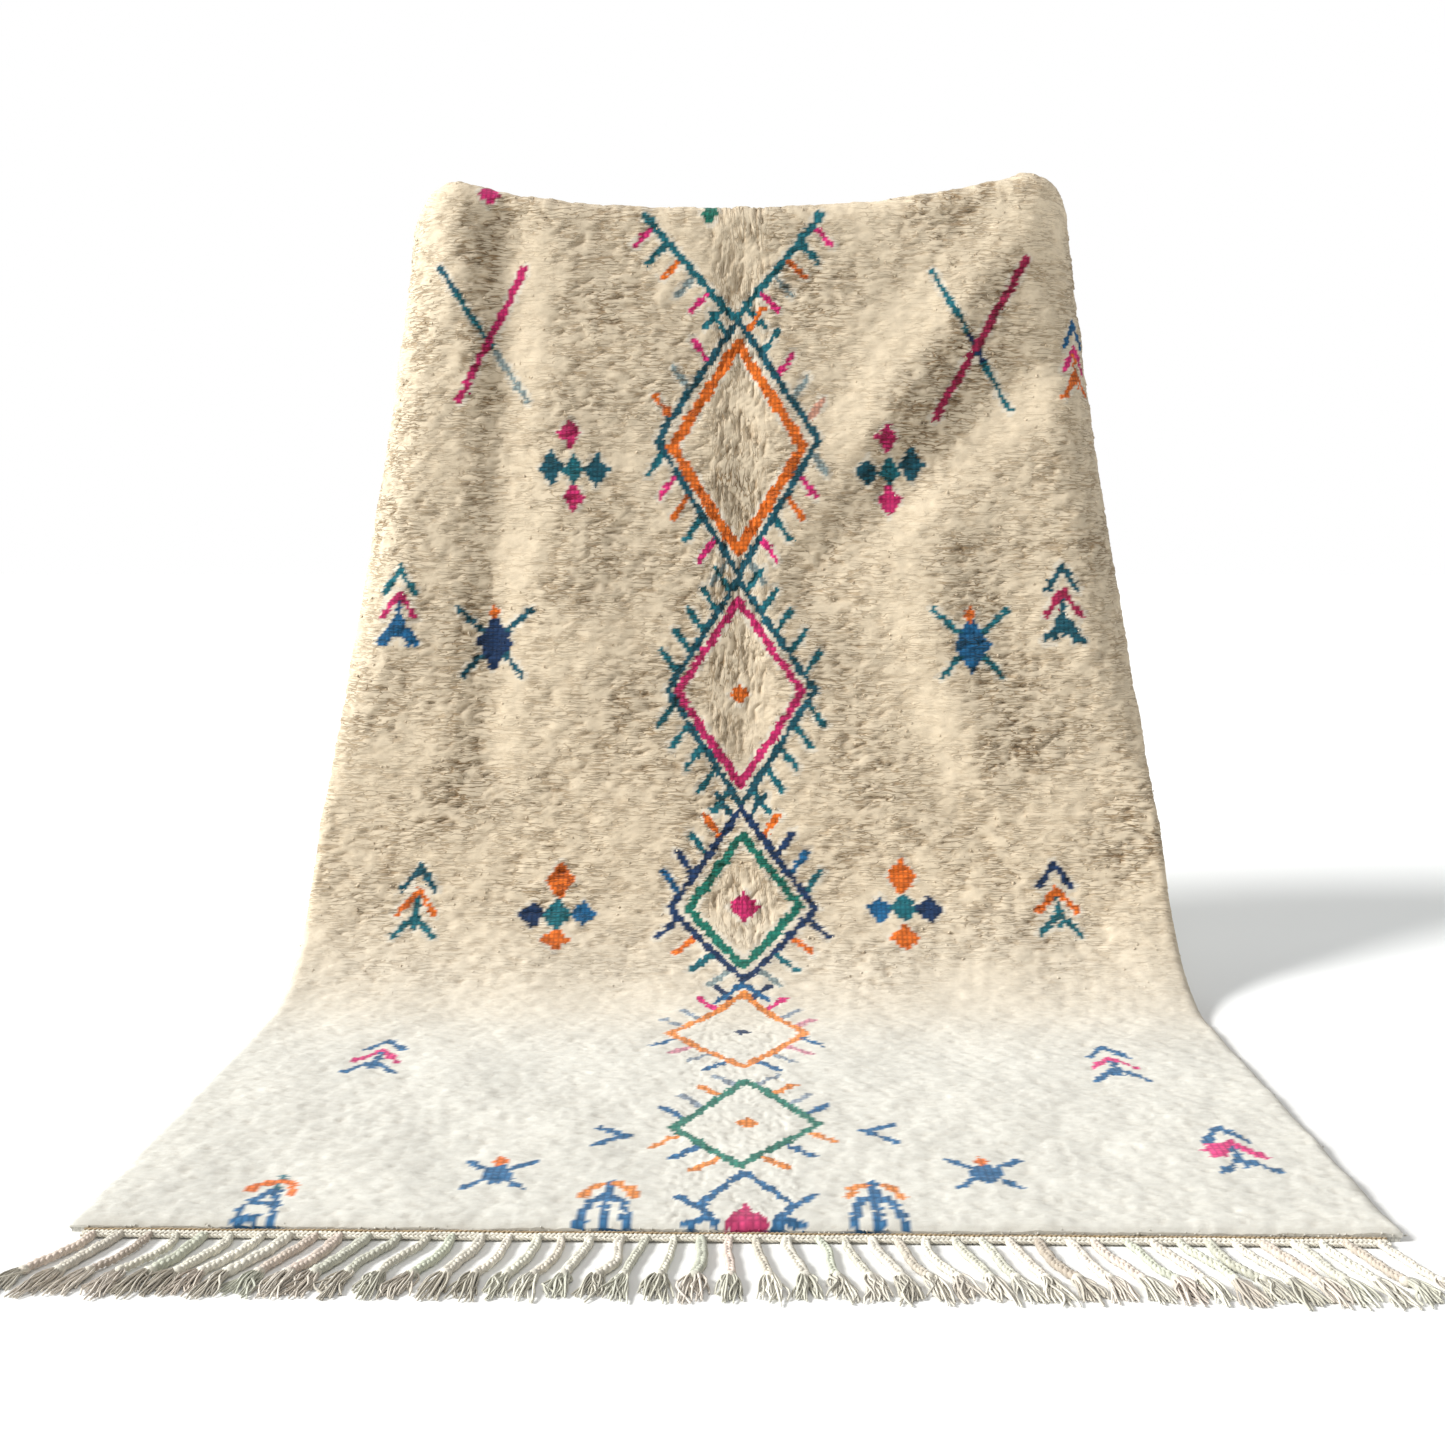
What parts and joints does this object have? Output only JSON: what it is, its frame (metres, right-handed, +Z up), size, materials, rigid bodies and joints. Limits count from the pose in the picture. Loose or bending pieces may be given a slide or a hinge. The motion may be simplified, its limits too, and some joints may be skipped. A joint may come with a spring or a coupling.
{
  "type": "moroccan wool pile rug",
  "caption": "Cream hand-knotted wool pile rug held from its upper part, draped in a curve onto the floor, with coloured lozenges, crosses and chevrons, and a braided fringe at the near hem",
  "frame": {"origin": "on the floor under the middle of the whole piece", "axes": "+Z up, the pile faces -Y, the hem and its fringe lie towards -Y, +X to the viewer's right"},
  "size_m": [1.8728, 2.0011, 1.7674],
  "materials": {
    "pile_wool": "cut wool pile, undyed cream with knotted coloured motifs",
    "fringe_wool": "spun wool, woven band and plaited ends, greyish cream"
  },
  "bodies": {
    "root": {"rug_body": "pile_wool", "fringe": "fringe_wool"}
  },
  "joints": []
}
